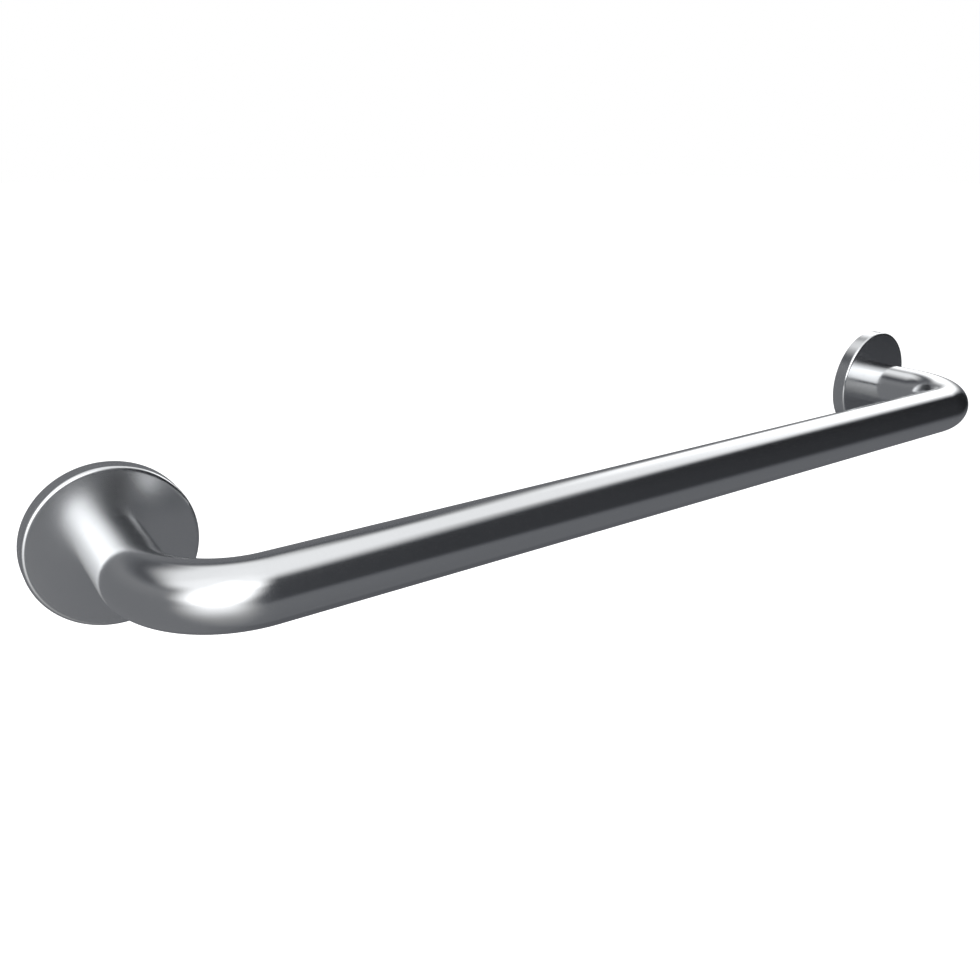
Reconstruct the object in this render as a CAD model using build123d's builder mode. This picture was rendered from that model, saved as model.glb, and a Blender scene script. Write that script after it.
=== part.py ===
"""Straight grab bar for a shower or bath, for fixing to a wall with hidden screws.

One steel tube is bent square at both ends. Each end passes through a push-fit cover and is welded into a
round mounting plate. The plate is screwed to the wall on a sealing ring, and the cover then slides down
the leg and grips the plate, so that the screws don't show.

Millimetres. +Z is up and +X runs along the bar. The wall is the plane Y = 0 and the bar stands out
towards -Y. The origin lies on the wall, midway between the two flanges.
"""

import os
from math import cos, radians, sin

from build123d import *

# Bar
leg_spacing = 600.0  # between the axes of the two legs
bar_axis_depth = 90.0  # from the wall to the bar's centre line
tube_dia = 32.0
tube_wall = 1.5
bend_radius = 45.0  # of the centre line
tube_end_recess = 0.5  # from the plate's back to the end of the tube

# Flange, stacked from the wall outwards: sealing ring, plate, room for the screw heads, front of the cover
flange_dia = 80.0
gasket_thickness = 1.0
gasket_width = 5.0  # from the plate's edge inwards
plate_thickness = 4.0
screw_head_room = 4.0
cover_wall = 1.0
cover_edge_radius = 2.0  # where the rim turns into the front
cover_edge_bands = 3  # flat bands that the rounded edge is drawn with
cover_hole_clearance = 0.25  # round the tube, on the radius
plate_rim_gap = 2.0  # from the plate's edge to the cover's rim, on the radius
plate_bore_clearance = 0.05  # round the tube, on the radius
weld_leg = 3.0  # of the bead between the plate's front and the tube

# Screws and the nibs that hold the cover
screw_count = 3
screw_hole_dia = 6.5
nib_radius = 3.0
nib_clearance = 0.05  # from a nib's tip to the inside of the cover's rim

# Sizes that follow
plate_front = gasket_thickness + plate_thickness
flange_depth = plate_front + screw_head_room + cover_wall
cover_inner_radius = flange_dia / 2 - cover_wall
plate_dia = 2 * (cover_inner_radius - plate_rim_gap)
plate_bore_radius = tube_dia / 2 + plate_bore_clearance
weld_toe_dia = tube_dia + 2 * weld_leg
screw_circle_dia = (weld_toe_dia + plate_dia) / 2  # midway between the weld and the plate's edge
nib_circle_radius = cover_inner_radius - nib_clearance - nib_radius
tube_end = gasket_thickness + tube_end_recess


def parallel_to_wall(x, depth):
    """The plane across a leg's axis at this depth in front of the wall. Its Z points away from the wall."""
    return Plane(origin=(x, -depth, 0), x_dir=(1, 0, 0), z_dir=(0, -1, 0))


def along_leg(x):
    """The upright plane through a leg's axis: X is the radius and Y the distance in front of the wall."""
    return Plane(origin=(x, 0, 0), x_dir=(0, 0, 1), z_dir=(1, 0, 0))


def leg_axis(x):
    return Axis((x, 0, 0), (0, -1, 0))


def make_tube():
    """The bar: a straight run between two square bends, and a short straight leg at each end."""
    half = leg_spacing / 2
    with BuildPart() as tube:
        with BuildLine() as centre_line:
            FilletPolyline(
                (-half, -tube_end),
                (-half, -bar_axis_depth),
                (half, -bar_axis_depth),
                (half, -tube_end),
                radius=bend_radius,
            )
        with BuildSketch(parallel_to_wall(-half, tube_end)):
            Circle(tube_dia / 2)
            Circle(tube_dia / 2 - tube_wall, mode=Mode.SUBTRACT)
        sweep(path=centre_line.line)
    return tube


def make_plate(x, away):
    """The mounting plate with its weld bead. away is the angle from +X that points away from the bar.

    One screw hole lies on that side and the others clear the bar, so that a driver reaches all of them.
    """
    pitch = 360 / screw_count
    with BuildPart() as plate:
        with BuildSketch(parallel_to_wall(x, gasket_thickness)):
            Circle(plate_dia / 2)
            with PolarLocations(nib_circle_radius, screw_count, start_angle=away + pitch / 2):
                Circle(nib_radius)
            Circle(plate_bore_radius, mode=Mode.SUBTRACT)
            with PolarLocations(screw_circle_dia / 2, screw_count, start_angle=away):
                Circle(screw_hole_dia / 2, mode=Mode.SUBTRACT)
        extrude(amount=plate_thickness)
        with BuildSketch(along_leg(x)):
            Polygon(
                (plate_bore_radius, plate_front),
                (plate_bore_radius + weld_leg, plate_front),
                (plate_bore_radius, plate_front + weld_leg),
                align=None,
            )
        revolve(axis=leg_axis(x))
    return plate


def make_cover(x):
    """The drawn cover: a shallow round cup that hides the plate, with a close hole for the tube."""
    rim = flange_dia / 2
    hole = tube_dia / 2 + cover_hole_clearance
    turns = [radians(90 * i / cover_edge_bands) for i in range(cover_edge_bands + 1)]
    edge = [
        (
            rim - cover_edge_radius * (1 - sin(turn)),
            flange_depth - cover_edge_radius * (1 - cos(turn)),
        )
        for turn in turns
    ]
    with BuildPart() as cover:
        with BuildSketch(along_leg(x)):
            with BuildLine():
                Polyline(
                    (hole, flange_depth),
                    *edge,
                    (rim, 0),
                    (cover_inner_radius, 0),
                    (cover_inner_radius, flange_depth - cover_wall),
                    (hole, flange_depth - cover_wall),
                    close=True,
                )
            make_face()
        revolve(axis=leg_axis(x))
    return cover


def make_gasket(x):
    """The sealing ring between the plate's edge and the wall, outside the screws."""
    with BuildPart() as gasket:
        with BuildSketch(parallel_to_wall(x, 0)):
            Circle(plate_dia / 2)
            Circle(plate_dia / 2 - gasket_width, mode=Mode.SUBTRACT)
        extrude(amount=gasket_thickness)
    return gasket


def save(piece, name):
    piece.part.label = name
    export_step(piece.part, f"parts/{name}.step")


os.makedirs("parts", exist_ok=True)
save(make_tube(), "grab_tube")
for side, x, away in (("left", -leg_spacing / 2, 180), ("right", leg_spacing / 2, 0)):
    save(make_plate(x, away), f"{side}_mounting_plate")
    save(make_cover(x), f"{side}_cover")
    save(make_gasket(x), f"{side}_wall_gasket")
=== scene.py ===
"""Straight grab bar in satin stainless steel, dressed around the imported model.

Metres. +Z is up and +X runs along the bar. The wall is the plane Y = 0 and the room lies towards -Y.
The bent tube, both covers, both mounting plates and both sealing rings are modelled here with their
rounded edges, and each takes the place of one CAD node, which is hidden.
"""

from math import acos, atan2, cos, degrees, pi, radians, sin, sqrt

import bmesh
import bpy
from mathutils import Matrix, Vector


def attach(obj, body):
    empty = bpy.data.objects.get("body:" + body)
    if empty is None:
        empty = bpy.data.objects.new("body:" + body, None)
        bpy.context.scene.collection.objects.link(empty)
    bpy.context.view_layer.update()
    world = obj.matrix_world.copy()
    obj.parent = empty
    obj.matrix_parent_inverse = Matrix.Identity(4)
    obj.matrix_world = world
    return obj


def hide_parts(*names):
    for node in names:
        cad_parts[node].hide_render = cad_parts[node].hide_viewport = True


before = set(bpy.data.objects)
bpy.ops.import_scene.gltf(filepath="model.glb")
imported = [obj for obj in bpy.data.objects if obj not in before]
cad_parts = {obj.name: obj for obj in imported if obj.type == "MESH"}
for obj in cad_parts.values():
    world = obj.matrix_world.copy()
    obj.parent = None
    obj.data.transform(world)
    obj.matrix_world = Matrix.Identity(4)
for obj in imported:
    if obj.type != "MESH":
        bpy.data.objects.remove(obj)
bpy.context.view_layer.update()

MM = 0.001
FLANGES = (("left", -1), ("right", 1))
MERGE_DISTANCE = 0.001 * MM  # points closer than this are one
NEAR = 0.02 * MM  # a point counts as lying on a ring within this distance
SHARP_ANGLE = radians(50)  # an edge that turns more than this isn't shaded smooth
CORNER_ANGLE = radians(60)  # an edge of the plate that turns more than this is rounded

# Bar
leg_spacing = 600 * MM
bar_axis_depth = 90 * MM
tube_radius = 16 * MM
tube_wall = 1.5 * MM
bend_radius = 45 * MM
tube_end = 1.5 * MM  # from the wall to the end of the tube
tube_end_round = 0.25 * MM
tube_sides = 96
bend_steps = 36
leg_steps = 6
run_steps = 34  # along the straight run between the bends

# Flange
flange_radius = 40 * MM
flange_depth = 10 * MM
cover_wall = 1 * MM
cover_edge_radius = 2 * MM  # where the rim turns into the front
cover_inside_radius = 1 * MM  # the same edge from inside
cover_rim_round = 0.25 * MM  # at the wall
cover_hole_radius = 16.005 * MM  # close round the tube, so that no gap shows
cover_inner_radius = flange_radius - cover_wall
cover_steps = 144
gasket_thickness = 1 * MM
gasket_width = 5 * MM
gasket_round = 0.3 * MM
gasket_steps = 128
plate_radius = 37 * MM
plate_thickness = 4 * MM
plate_round = 0.3 * MM
plate_rim_steps = 360
plate_bore_radius = 16.05 * MM
plate_bore_steps = 96
plate_front = gasket_thickness + plate_thickness
weld_leg = 3 * MM
weld_root = 0.4 * MM  # how far the bead reaches into the plate
weld_scales = 66  # round the bead, as the passes of the weld leave them
weld_scale_height = 0.08 * MM
weld_scale_steps = 8  # along each scale
screw_count = 3
screw_circle_radius = 28 * MM
screw_hole_radius = 3.25 * MM
screw_hole_steps = 40
nib_radius = 3 * MM
nib_clearance = 0.05 * MM  # from a nib's tip to the inside of the cover's rim
nib_circle_radius = cover_inner_radius - nib_clearance - nib_radius


# ---- Mesh tools ------------------------------------------------------------------------------------------


def placed(name, data):
    """Puts the data into the scene as an object of this name."""
    thing = bpy.data.objects.new(name, data)
    bpy.context.scene.collection.objects.link(thing)
    return thing


def meshed(bm, name, material):
    """Turns the bmesh into a mesh of this material."""
    mesh = bpy.data.meshes.new(name)
    bm.to_mesh(mesh)
    bm.free()
    mesh.materials.append(material)
    return mesh


def finished(bm, name, material, node):
    """Makes the bmesh an object that stands for a CAD node."""
    bmesh.ops.remove_doubles(bm, verts=bm.verts, dist=MERGE_DISTANCE)
    bmesh.ops.recalc_face_normals(bm, faces=bm.faces)
    mesh = meshed(bm, name, material)
    mesh.shade_smooth()
    mesh.set_sharp_from_angle(angle=SHARP_ANGLE)
    piece = placed(name, mesh)
    weighted = piece.modifiers.new("flat faces stay flat", "WEIGHTED_NORMAL")
    weighted.mode = "FACE_AREA"
    weighted.keep_sharp = True
    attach(piece, "root")
    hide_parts(node)
    return piece


def outline(bm, points):
    """A closed loop of edges through these points."""
    verts = [bm.verts.new(point) for point in points]
    return [bm.edges.new((a, b)) for a, b in zip(verts, verts[1:] + verts[:1])]


def turned(bm, x, profile, steps):
    """Spins a closed profile of (radius, distance in front of the wall) points round a leg's axis."""
    edges = outline(bm, [(x + radius, -depth, 0) for radius, depth in profile])
    verts = list({vert for edge in edges for vert in edge.verts})
    bmesh.ops.spin(
        bm,
        geom=verts + edges,
        cent=(x, 0, 0),
        axis=(0, 1, 0),
        angle=2 * pi,
        steps=steps,
        use_merge=True,
        use_duplicate=False,
    )


def rings_at(bm, x, radius, depth):
    """The edges of the ring of this radius at this distance in front of the wall."""

    def on_ring(vert):
        off_radius = abs(sqrt((vert.co.x - x) ** 2 + vert.co.z**2) - radius)
        return off_radius < NEAR and abs(-vert.co.y - depth) < NEAR

    return [edge for edge in bm.edges if all(on_ring(vert) for vert in edge.verts)]


def rounded(bm, edges, size, segments):
    """Rounds these edges, with this many faces across the round."""
    bmesh.ops.bevel(
        bm,
        geom=edges,
        offset=size,
        offset_type="OFFSET",
        affect="EDGES",
        segments=segments,
        profile=0.5,
        material=-1,
        clamp_overlap=True,
    )


# ---- Shader tools ----------------------------------------------------------------------------------------


class Signal:
    """A socket in a node tree. Arithmetic on it adds Math nodes."""

    def __init__(self, tree, socket=None):
        self.tree = tree
        self.socket = socket

    def node(self, kind, settings=None, inputs=None, output=0):
        """Adds a node, sets it up, feeds its inputs and returns one of its outputs."""
        made = self.tree.nodes.new("ShaderNode" + kind)
        for name, value in (settings or {}).items():
            if name == "stops":
                for stop, (place, colour) in zip(made.color_ramp.elements, value):
                    stop.position = place
                    stop.color = colour
                for place, colour in value[2:]:
                    made.color_ramp.elements.new(place).color = colour
            elif name == "points":
                line = made.mapping.curves[0].points
                line[0].location, line[-1].location = value[0], value[-1]
                for place, result in value[1:-1]:
                    line.new(place, result)
                for point in line:
                    point.handle_type = "AUTO_CLAMPED"
                made.mapping.extend = "HORIZONTAL"
                made.mapping.use_clip = False
                made.mapping.update()
            else:
                setattr(made, name, value)
        for name, value in (inputs or {}).items():
            if isinstance(value, Signal):
                self.tree.links.new(value.socket, made.inputs[name])
            else:
                made.inputs[name].default_value = value
        return Signal(self.tree, made.outputs[output] if made.outputs else None)

    def math(self, operation, *values):
        return self.node("Math", {"operation": operation}, dict(enumerate(values)))

    def __add__(self, other):
        return self.math("ADD", self, other)

    __radd__ = __add__

    def __mul__(self, other):
        return self.math("MULTIPLY", self, other)

    __rmul__ = __mul__

    def __sub__(self, other):
        return self.math("SUBTRACT", self, other)

    def __rsub__(self, other):
        return self.math("SUBTRACT", other, self)

    def __truediv__(self, other):
        return self.math("DIVIDE", self, other)

    def curve(self, *points):
        """A smooth line through (value, result) points, level beyond both ends."""
        low, high = points[0][0], points[-1][0]
        places = [((value - low) / (high - low), result) for value, result in points]
        return self.node("FloatCurve", {"points": places}, {"Value": (self - low) / (high - low)})

    def smooth(self, low, high):
        """Rises smoothly from 0 at low to 1 at high."""
        return self.node(
            "MapRange",
            {"interpolation_type": "SMOOTHSTEP"},
            {"Value": self, "From Min": low, "From Max": high},
        )

    def within(self, low, high, softness):
        """1 between low and high, with both edges this soft."""
        half = softness / 2
        return self.smooth(low - half, low + half) * (1 - self.smooth(high - half, high + half))

    def past(self, edge, softness):
        """0 before an edge and 1 past it, with the edge this soft."""
        return (self - edge).smooth(-softness / 2, softness / 2)

    def blended(self, other, share):
        """This value, which gives way to the other by this share."""
        return self + share * (other - self)

    def part(self, axis):
        """One of a vector's three numbers."""
        return self.node("SeparateXYZ", None, {"Vector": self}, axis)

    def noise(self, scale, detail=2.0, roughness=0.5):
        return self.node(
            "TexNoise",
            None,
            {"Vector": self, "Scale": scale, "Detail": detail, "Roughness": roughness},
            "Fac",
        )

    def stretched(self, scale, centre=(0, 0, 0)):
        """These coordinates about a centre, multiplied along each axis."""
        moved = self.node("VectorMath", {"operation": "SUBTRACT"}, {0: self, 1: centre})
        return self.node("VectorMath", {"operation": "MULTIPLY"}, {0: moved, 1: scale})


def colours(share, first, second):
    """A colour between two, by share."""
    return share.node(
        "Mix",
        {"data_type": "RGBA"},
        {0: share, 6: (*first, 1) if isinstance(first, tuple) else first, 7: (*second, 1)},
        2,
    )


def new_material(name):
    """An empty material, and its node tree to add nodes to."""
    material = bpy.data.materials.new(name)
    material.use_nodes = True
    material.node_tree.nodes.clear()
    return material, Signal(material.node_tree)


def show(signal, surface):
    """Makes this shader the one that the material shows."""
    signal.node("OutputMaterial", None, {"Surface": surface})


# ---- Materials -------------------------------------------------------------------------------------------

DARKEST, LIGHTEST = 0.93, 1.06  # how far the steel's colour strays, as shares of it
GRAIN_DEPTH = 0.04 * MM
GRAIN_STRENGTH = 0.3
SATIN_TUBE = (0.707, 0.7135, 0.721)
SATIN_COVER = (0.687, 0.694, 0.702)
MILL_PLATE = (0.56, 0.566, 0.576)
HEAT_REACH = 3.1  # how far the weld's heat tints the plate, in legs of the weld
HEAT_COLOURS = [
    (0.0, (0.96, 0.94, 0.90, 1)),
    (0.30, (0.86, 0.82, 0.78, 1)),
    (0.37, (0.62, 0.68, 0.86, 1)),
    (0.46, (0.78, 0.64, 0.66, 1)),
    (0.62, (1.0, 0.90, 0.70, 1)),
    (0.90, (1.0, 1.0, 1.0, 1)),
]


def steel(name, coordinates, grain, base, roughness, welded=False):
    """Stainless steel. The grain is the fine pattern of its finish, centred on 0.5."""
    material, tree = new_material(name)
    place = tree.node("TexCoord", None, None, "Object")
    along = coordinates(tree)
    pattern = grain(along)
    cloud = place.noise(9.0, 3.0)
    dark = tuple(DARKEST * part for part in base)
    light = tuple(LIGHTEST * part for part in base)
    colour = colours(0.5 * cloud + 0.5 * pattern, dark, light)
    rough = roughness + 0.03 * (cloud - 0.5) + 0.09 * (pattern - 0.5)
    if welded:
        colour = heat_tint(along, colour)
    relief = {"Strength": GRAIN_STRENGTH, "Distance": GRAIN_DEPTH, "Height": pattern}
    normal = tree.node("Bump", None, relief)
    surface = tree.node(
        "BsdfPrincipled",
        None,
        {"Metallic": 1.0, "Base Color": colour, "Roughness": rough, "Normal": normal},
    )
    show(tree, surface)
    return material


def unbent(tree):
    """The tube's own coordinates before it was bent, in metres: along it, outwards and up."""
    return tree.node("Attribute", {"attribute_name": "unbent"}, None, "Vector")


def scratched(along, fine, middle, coarse):
    """Scratches of three sizes together. Each size has its own stretch of the noise."""
    small = along.stretched(fine).noise(1.0, 3.0, 0.6)
    medium = along.stretched(middle).noise(1.0, 2.0)
    large = along.stretched(coarse).noise(1.0, 2.0)
    return 0.5 * small + 0.3 * medium + 0.2 * large


def belt_polish(along):
    """Fine lines round the tube, as a polishing belt leaves them."""
    return scratched(along, (5200, 230, 230), (1500, 70, 70), (380, 22, 22))


def about_leg(sign):
    """Coordinates about one leg's axis: the radius, the depth and the angle round it in radians."""
    x = sign * leg_spacing / 2

    def coordinates(tree):
        place = tree.node("TexCoord", None, None, "Object").stretched((1, 1, 1), (x, 0, 0))
        flat = place.stretched((1, 0, 1))
        radius = tree.node("VectorMath", {"operation": "LENGTH"}, {0: flat}, "Value")
        angle = place.part(2).math("ARCTAN2", place.part(2), place.part(0))
        return tree.node("CombineXYZ", None, {0: radius, 1: place.part(1), 2: angle})

    return coordinates


def turning_lines(along):
    """Fine circles, as spinning against a polishing pad leaves them."""
    return scratched(along, (5200, 5200, 1.4), (1500, 1500, 0.8), (380, 380, 0.5))


def heat_tint(along, colour):
    """The rings from blue to straw that the weld's heat leaves in the plate."""
    wander = 1.2 * MM * (along.stretched((60, 60, 2.2)).noise(1.0, 2.0) - 0.5)
    share = (along.part(0) + wander - plate_bore_radius) / (HEAT_REACH * weld_leg)
    tint = along.node("ValToRGB", {"stops": HEAT_COLOURS}, {"Fac": share})
    multiply = {"data_type": "RGBA", "blend_type": "MULTIPLY"}
    return along.node("Mix", multiply, {0: 1.0, 6: colour, 7: tint}, 2)


satin_tube = steel("satin tube steel", unbent, belt_polish, SATIN_TUBE, 0.145)
satin_cover, mill_plate = {}, {}
for side, sign in FLANGES:
    leg = about_leg(sign)
    satin_cover[side] = steel(f"satin cover steel {side}", leg, turning_lines, SATIN_COVER, 0.22)
    mill_plate[side] = steel(
        f"mill finish steel {side}", leg, turning_lines, MILL_PLATE, 0.34, welded=True
    )


def make_rubber():
    """Matt black closed-cell rubber."""
    material, tree = new_material("black rubber")
    place = tree.node("TexCoord", None, None, "Object")
    cells = place.noise(1900, 3.0, 0.6)
    mottle = 0.6 * place.noise(160, 2.0) + 0.4 * cells
    colour = colours(mottle, (0.014, 0.014, 0.016), (0.060, 0.060, 0.064))
    normal = tree.node("Bump", None, {"Strength": 0.6, "Distance": 0.0001, "Height": cells})
    surface = tree.node(
        "BsdfPrincipled",
        None,
        {"Base Color": colour, "Roughness": 0.55 + 0.3 * cells, "Normal": normal},
    )
    show(tree, surface)
    return material


rubber = make_rubber()


# ---- Tube ------------------------------------------------------------------------------------------------


def before_bending(point):
    """Where this point of the bar was while the tube was straight: along it, outwards and up."""
    x, y, z = point
    half = leg_spacing / 2
    inner = half - bend_radius
    straight = bar_axis_depth - bend_radius
    side = 1 if x > 0 else -1
    if abs(x) <= inner:
        return x, -y - bar_axis_depth, z
    if -y < straight:
        return side * (inner + bend_radius * pi / 2 + straight + y), abs(x) - half, z
    across, ahead = abs(x) - inner, -y - straight
    reach = sqrt(across**2 + ahead**2)
    angle = acos(max(-1.0, min(1.0, ahead / reach)))
    return side * (inner + bend_radius * angle), reach - bend_radius, z


def make_tube():
    """The bar: a hollow tube with two square bends."""
    half = leg_spacing / 2
    straight = bar_axis_depth - bend_radius
    bm = bmesh.new()
    unbent_layer = bm.verts.layers.float_vector.new("unbent")
    start = Matrix.Translation((-half, -tube_end, 0)) @ Matrix.Rotation(radians(90), 4, "X")
    bmesh.ops.create_circle(bm, segments=tube_sides, radius=tube_radius, matrix=start)
    ring = bm.edges[:]

    def drawn(ring, step, count):
        """Draws the ring out along a straight step. Returns the ring at its end."""
        for _ in range(count):
            geom = bmesh.ops.extrude_edge_only(bm, edges=ring)["geom"]
            verts = [item for item in geom if isinstance(item, bmesh.types.BMVert)]
            bmesh.ops.translate(bm, verts=verts, vec=Vector(step) / count)
            ring = [item for item in geom if isinstance(item, bmesh.types.BMEdge)]
            ring = [edge for edge in ring if all(vert in set(verts) for vert in edge.verts)]
        return ring

    def bent(ring, centre):
        """Draws the ring round a square bend. Returns the ring at its end."""
        verts = list({vert for edge in ring for vert in edge.verts})
        geom = bmesh.ops.spin(
            bm,
            geom=verts + ring,
            cent=centre,
            axis=(0, 0, 1),
            angle=pi / 2,
            steps=bend_steps,
            use_merge=False,
            use_duplicate=False,
        )["geom_last"]
        return [item for item in geom if isinstance(item, bmesh.types.BMEdge)]

    ring = drawn(ring, (0, tube_end - straight, 0), leg_steps)
    ring = bent(ring, (-half + bend_radius, -straight, 0))
    ring = drawn(ring, (leg_spacing - 2 * bend_radius, 0, 0), run_steps)
    ring = bent(ring, (half - bend_radius, -straight, 0))
    drawn(ring, (0, straight - tube_end, 0), leg_steps)
    bmesh.ops.recalc_face_normals(bm, faces=bm.faces)
    bmesh.ops.solidify(bm, geom=bm.faces[:] + bm.edges[:] + bm.verts[:], thickness=tube_wall)
    for x in (-half, half):
        for radius in (tube_radius, tube_radius - tube_wall):
            rounded(bm, rings_at(bm, x, radius, tube_end), tube_end_round, 2)
    for vert in bm.verts:
        vert[unbent_layer] = before_bending(vert.co)
    return finished(bm, "bent_tube", satin_tube, "grab_tube")


# ---- Flanges ---------------------------------------------------------------------------------------------


def make_cover(side, sign):
    """The cover: a shallow drawn cup with a rounded front edge."""
    x = sign * leg_spacing / 2
    bm = bmesh.new()
    profile = [
        (cover_hole_radius, flange_depth),
        (flange_radius, flange_depth),
        (flange_radius, 0),
        (cover_inner_radius, 0),
        (cover_inner_radius, flange_depth - cover_wall),
        (cover_hole_radius, flange_depth - cover_wall),
    ]
    turned(bm, x, profile, cover_steps)
    rounded(bm, rings_at(bm, x, flange_radius, flange_depth), cover_edge_radius, 12)
    inside_edge = rings_at(bm, x, cover_inner_radius, flange_depth - cover_wall)
    rounded(bm, inside_edge, cover_inside_radius, 5)
    for radius in (flange_radius, cover_inner_radius):
        rounded(bm, rings_at(bm, x, radius, 0), cover_rim_round, 3)
    return finished(bm, f"{side}_push_fit_cover", satin_cover[side], f"{side}_cover")


def make_gasket(side, sign):
    """The sealing ring between the plate and the wall."""
    x = sign * leg_spacing / 2
    inner = plate_radius - gasket_width
    front = gasket_thickness
    bm = bmesh.new()
    profile = [(inner, 0), (plate_radius, 0), (plate_radius, front), (inner, front)]
    turned(bm, x, profile, gasket_steps)
    for radius in (inner, plate_radius):
        rounded(bm, rings_at(bm, x, radius, 0), gasket_round, 3)
    return finished(bm, f"{side}_sealing_ring", rubber, f"{side}_wall_gasket")


def add_weld(bm, x):
    """The fillet weld between the tube and the plate's front, with the scales that its passes leave."""
    inner = plate_bore_radius
    section = [(0.93, 0.18), (0.75, 0.42), (0.59, 0.59), (0.42, 0.75), (0.18, 0.93)]
    crown = [(inner + out * weld_leg, plate_front + ahead * weld_leg) for out, ahead in section]
    profile = [
        (tube_radius, plate_front - weld_root),
        (inner + weld_leg, plate_front - weld_root),
        (inner + weld_leg, plate_front),
        *crown,
        (tube_radius, plate_front + weld_leg),
    ]
    before = set(bm.verts)
    turned(bm, x, profile, weld_scales * weld_scale_steps)
    for vert in set(bm.verts) - before:
        radius = sqrt((vert.co.x - x) ** 2 + vert.co.z**2)
        out, ahead = radius - inner, -vert.co.y - plate_front
        if min(out, ahead) < 0.1 * weld_leg:
            continue  # the bead's edges stay on the plate and the tube
        angle = atan2(vert.co.z, vert.co.x - x)
        bow = 2.4 * ((out - ahead) / weld_leg) ** 2  # each scale curves back towards both edges
        rise = weld_scale_height * sin(angle * weld_scales + bow) / sqrt(out**2 + ahead**2)
        vert.co.x += (vert.co.x - x) / radius * out * rise
        vert.co.z += vert.co.z / radius * out * rise
        vert.co.y -= ahead * rise


def make_plate(side, sign):
    """The mounting plate: round, with three screw holes, three nibs and the weld bead round the tube."""
    x = sign * leg_spacing / 2
    away = 0 if sign > 0 else pi
    pitch = 2 * pi / screw_count
    bm = bmesh.new()

    def circle(radius, segments, along=0.0, angle=0.0):
        """A ring of edges on the plate's back, at this distance and angle from the leg's axis."""
        centre = (x + along * cos(angle), -gasket_thickness, along * sin(angle))
        place = Matrix.Translation(centre) @ Matrix.Rotation(radians(90), 4, "X")
        return bmesh.ops.create_circle(bm, segments=segments, radius=radius, matrix=place)["verts"]

    for vert in circle(plate_radius, plate_rim_steps):
        angle = Vector((vert.co.x - x, vert.co.z)).angle_signed(Vector((1, 0)))
        off = (angle - away) % pitch - pitch / 2  # from the middle of the nearest nib
        inside = nib_radius**2 - (nib_circle_radius * sin(off)) ** 2
        if inside > 0:
            reach = nib_circle_radius * cos(off) + sqrt(inside)
            if reach > plate_radius:
                vert.co.x = x + reach * cos(angle)
                vert.co.z = reach * sin(angle)
    circle(plate_bore_radius, plate_bore_steps)
    for turn in range(screw_count):
        circle(screw_hole_radius, screw_hole_steps, screw_circle_radius, away + turn * pitch)
    bmesh.ops.triangle_fill(bm, edges=bm.edges[:], use_beauty=True)
    geom = bmesh.ops.extrude_face_region(bm, geom=bm.faces[:])["geom"]
    front = [item for item in geom if isinstance(item, bmesh.types.BMVert)]
    bmesh.ops.translate(bm, verts=front, vec=(0, -plate_thickness, 0))
    bmesh.ops.recalc_face_normals(bm, faces=bm.faces)
    corners = [
        edge
        for edge in bm.edges
        if len(edge.link_faces) == 2 and edge.calc_face_angle(0) > CORNER_ANGLE
    ]
    rounded(bm, corners, plate_round, 2)
    add_weld(bm, x)
    node = f"{side}_mounting_plate"
    return finished(bm, f"{side}_screw_plate", mill_plate[side], node)


make_tube()
for side, sign in FLANGES:
    make_cover(side, sign)
    make_plate(side, sign)
    make_gasket(side, sign)


# ---- Studio ----------------------------------------------------------------------------------------------

WHITE = (1, 1, 1, 1)
ROOM_LIGHT = (0.6, 0.6, 0.61, 1)
FLOOR_COLOUR = (0.8, 0.8, 0.8, 1)
FLOOR_GLOW = 0.7  # added to the floor's own light, so that it shows white with a faint shadow
FLOOR_HEIGHT = -0.85  # such a bar is fixed about this far above the floor
FLOOR_HALF = 40.0  # from the middle of the floor to its edge
DOME_RADIUS = 12.0
DOME_STRENGTH = 0.886
LAMP_DISTANCE = 2.5


def staged(name, bm, material):
    """Makes the bmesh a part of the studio, which isn't part of the model."""
    thing = placed(name, meshed(bm, name, material))
    return thing


def seen_directly(tree):
    """1 for what the camera or a reflection shows, and 0 for light on the object."""
    rays = [
        tree.node("LightPath", None, None, f"Is {kind} Ray")
        for kind in ("Camera", "Glossy", "Transmission")
    ]
    return rays[0].math("MAXIMUM", rays[0].math("MAXIMUM", rays[0], rays[1]), rays[2])


def make_world():
    """A plain white surround, which lights the object more softly than it shows."""
    world = bpy.data.worlds.new("white studio")
    bpy.context.scene.world = world
    world.use_nodes = True
    world.node_tree.nodes.clear()
    tree = Signal(world.node_tree)
    light = tree.node("Background", None, {"Color": ROOM_LIGHT, "Strength": 1.0})
    white = tree.node("Background", None, {"Color": WHITE, "Strength": 1.0})
    surface = tree.node("MixShader", None, {0: seen_directly(tree), 1: light, 2: white})
    tree.node("OutputWorld", None, {"Surface": surface})


def make_floor():
    """A plain white floor. It glows only where it is seen directly, and doesn't show in the steel."""
    material, tree = new_material("white floor")
    lit = tree.node("BsdfDiffuse", None, {"Color": FLOOR_COLOUR})
    glow = tree.node("Emission", None, {"Color": WHITE, "Strength": FLOOR_GLOW})
    both = tree.node("AddShader", None, {0: lit, 1: glow})
    show(tree, tree.node("MixShader", None, {0: seen_directly(tree), 1: lit, 2: both}))
    bm = bmesh.new()
    place = Matrix.Translation((0, 0, FLOOR_HEIGHT))
    bmesh.ops.create_grid(bm, x_segments=1, y_segments=1, size=FLOOR_HALF, matrix=place)
    staged("floor", bm, material).visible_glossy = False


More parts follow.
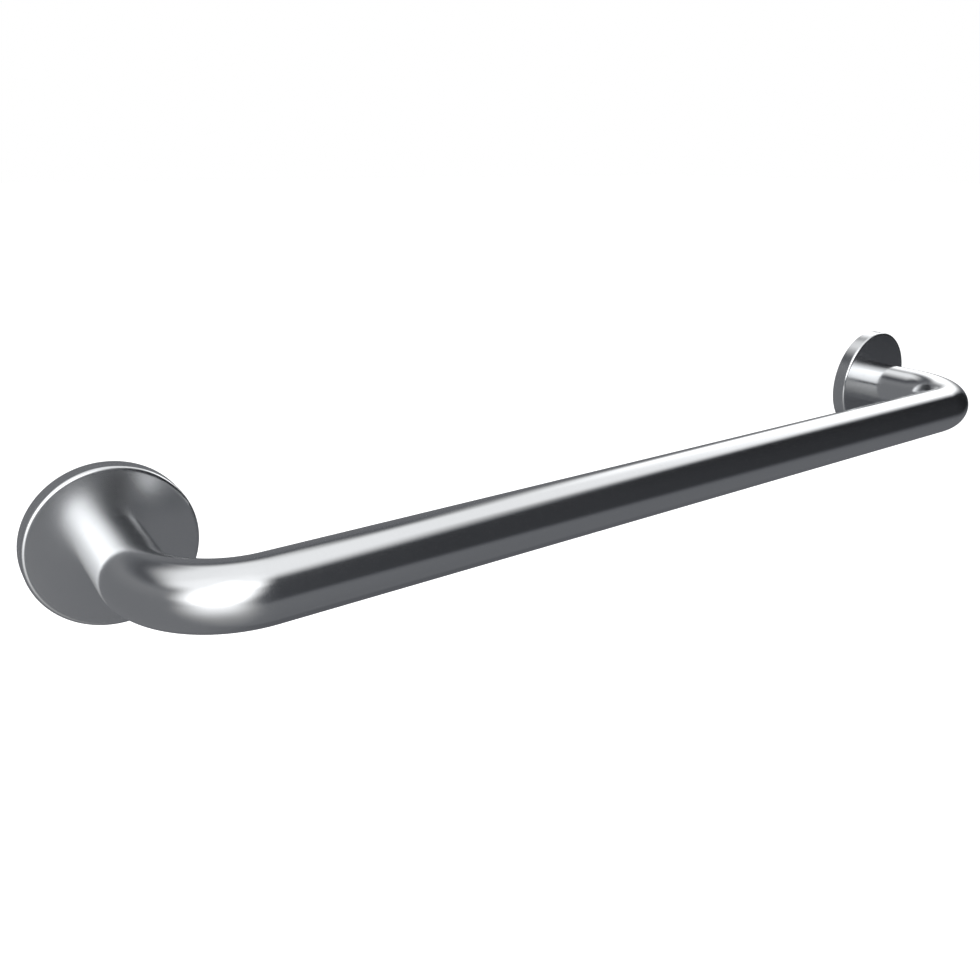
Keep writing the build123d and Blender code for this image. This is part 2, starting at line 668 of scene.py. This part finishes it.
def studio_level(bearing, height):
    """How bright the studio is in each direction: softboxes, a black flag and grey walls.

    Angles are in degrees. Bearing 0 looks from the wall into the room, and 90 along +X.
    """
    # Grey walls and floor, on the left, ahead and on the right, and a mean of both sides behind
    west = height.curve((-90, 0.19), (-60, 0.24), (0, 0.24), (30, 0.29))
    middle = height.curve((-90, 0.23), (-60, 0.21), (-30, 0.21), (-20, 0.2), (0, 0.1))
    middle = middle * bearing.curve((12, 1), (45, 0.91))
    east = height.curve((-90, 0.17), (-60, 0.14), (-30, 0.17), (0, 0.2), (30, 0.19))
    level = west.blended(middle, bearing.smooth(-20, 20)).blended(east, bearing.smooth(75, 110))
    level = level.blended((west + east) * 0.5, 1 - bearing.within(-165, 165, 30))

    # The key softbox stands between these two edges, and the rear one begins at the third
    key_left = height.curve((-30, -55), (-10, -55.3), (0, -53), (10, -55.8), (25, -59.2), (50, -58.4))
    key_right = height.curve(
        (-45, -7), (-30, -10.5), (-10, -12.5), (0, -14.3), (10, -11.4),
        (20, -7.2), (30, -3.8), (40, 3.6), (50, 6.5),
    )
    rear_left = height.curve((8, 107.5), (20, 101), (30, 90.5), (45, 86))
    beside_key = bearing.past(key_right, 33)
    beside_rear = bearing.past(rear_left, 21)

    # A black flag from the key softbox to the rear one
    flag_low = bearing.curve((0, -17.5), (30, -13.2), (60, -13), (90, -11))
    flag_level = bearing.curve((0, 0.13), (20, 0.065), (45, 0.05), (85, 0.02))
    flag = beside_key * (1 - beside_rear) * height.past(flag_low, 14.4)
    level = level.blended(flag_level, flag)

    # A dark rail high up at the back
    rail = (1 - bearing.within(-75, 136, 25)) * height.smooth(27, 46)
    level = level.blended(0.1, rail)

    # The rear softbox
    rear_low = bearing.curve((90, 7), (105, 8.5), (120, 12.5), (130, 19), (137, 23.5))
    rear_level = height.curve((6, 2), (18, 2.9), (32, 1.8), (46, 1.25))
    rear = beside_rear * (1 - bearing.smooth(125.5, 147)) * height.past(rear_low, 25.2)
    level = level.blended(rear_level, rear)

    # The key softbox, which fades out downwards
    key_level = height.curve(
        (-90, 0.19), (-70, 0.29), (-50, 0.42), (-35, 0.68), (-22, 1.1),
        (-10, 1.5), (0, 2.1), (10, 3), (40, 2.8),
    )
    level = level.blended(key_level, bearing.past(key_left, 38) * (1 - beside_key))

    # The bright ceiling
    ceiling_edge = bearing.curve(
        (-180, 48), (-150, 56), (-120, 54.5), (-90, 46), (-60, 42.5), (-30, 63.5), (0, 52.3),
        (30, 53.3), (60, 54.6), (90, 46.5), (120, 56), (150, 49.5), (180, 48),
    )
    ceiling_level = bearing.curve(
        (-100, 1.23), (-60, 1.44), (-30, 1.4), (0, 1.46), (30, 1.27), (90, 1.25)
    )
    ceiling_level = ceiling_level.blended(1.3, height.smooth(65, 90))
    return level.blended(ceiling_level, height.past(ceiling_edge, 21.6))


def make_dome():
    """What the steel mirrors: the studio, far away all round. Nothing else sees it."""
    material, tree = new_material("studio seen in the steel")
    place = tree.node("TexCoord", None, None, "Object").stretched((1 / DOME_RADIUS,) * 3)
    x, y, z = (place.part(axis) for axis in range(3))
    bearing = x.math("ARCTAN2", x, 0 - y) * degrees(1)
    height = z.math("ARCSINE", z) * degrees(1)
    level = studio_level(bearing, height)

    # The dark surfaces are a little bluer than the softboxes
    cold = 1 - level.smooth(0, 0.45)
    red, blue = level * (0.991 - 0.034 * cold), level * (1.011 + 0.1 * cold)
    colour = tree.node("CombineColor", None, {0: red, 1: level, 2: blue})
    show(tree, tree.node("Emission", None, {"Color": colour, "Strength": DOME_STRENGTH}))
    material.cycles.emission_sampling = "NONE"
    bm = bmesh.new()
    bmesh.ops.create_icosphere(bm, subdivisions=6, radius=DOME_RADIUS)
    bmesh.ops.reverse_faces(bm, faces=bm.faces)
    dome = staged("studio_dome", bm, material)
    dome.visible_camera = False
    dome.visible_diffuse = False
    dome.visible_shadow = False
    dome.visible_transmission = False
    dome.visible_volume_scatter = False


def make_lamp(name, bearing, height, size, power):
    """A soft square lamp. It doesn't show in the steel, which mirrors the dome instead."""
    across, up = radians(bearing), radians(height)
    towards = Vector((sin(across) * cos(up), -cos(across) * cos(up), sin(up)))
    data = bpy.data.lights.new(name, "AREA")
    data.shape = "SQUARE"
    data.size = size
    data.energy = power
    lamp = placed(name, data)
    lamp.location = LAMP_DISTANCE * towards
    lamp.rotation_euler = towards.to_track_quat("Z", "Y").to_euler()
    lamp.visible_glossy = False


def make_camera():
    """The camera in the room, to the left of the bar and above it."""
    at = Vector((-368.769, -423.085, 173.163)) * MM
    yaw, pitch, roll = 0.600512, -0.360435, 0.003928
    ahead = Vector((sin(yaw) * cos(pitch), cos(yaw) * cos(pitch), sin(pitch)))
    level = Vector((cos(yaw), -sin(yaw), 0))
    up = level.cross(ahead)
    right = cos(roll) * level + sin(roll) * up
    over = -sin(roll) * level + cos(roll) * up
    data = bpy.data.cameras.new("camera")
    data.sensor_width = 36
    data.lens = 32.4435
    data.clip_start = 0.01
    data.clip_end = 200
    camera = placed("camera", data)
    axes = Matrix((right, over, -ahead)).transposed()
    camera.matrix_world = Matrix.Translation(at) @ axes.to_4x4()
    bpy.context.scene.camera = camera


make_world()
make_floor()
make_dome()
make_lamp("key_lamp", -32, 25, 1.6, 38)
make_lamp("rear_lamp", 112, 38, 1.2, 20)
make_lamp("top_lamp", 0, 85, 2.0, 24)
make_camera()
bpy.context.scene.view_settings.view_transform = "Standard"
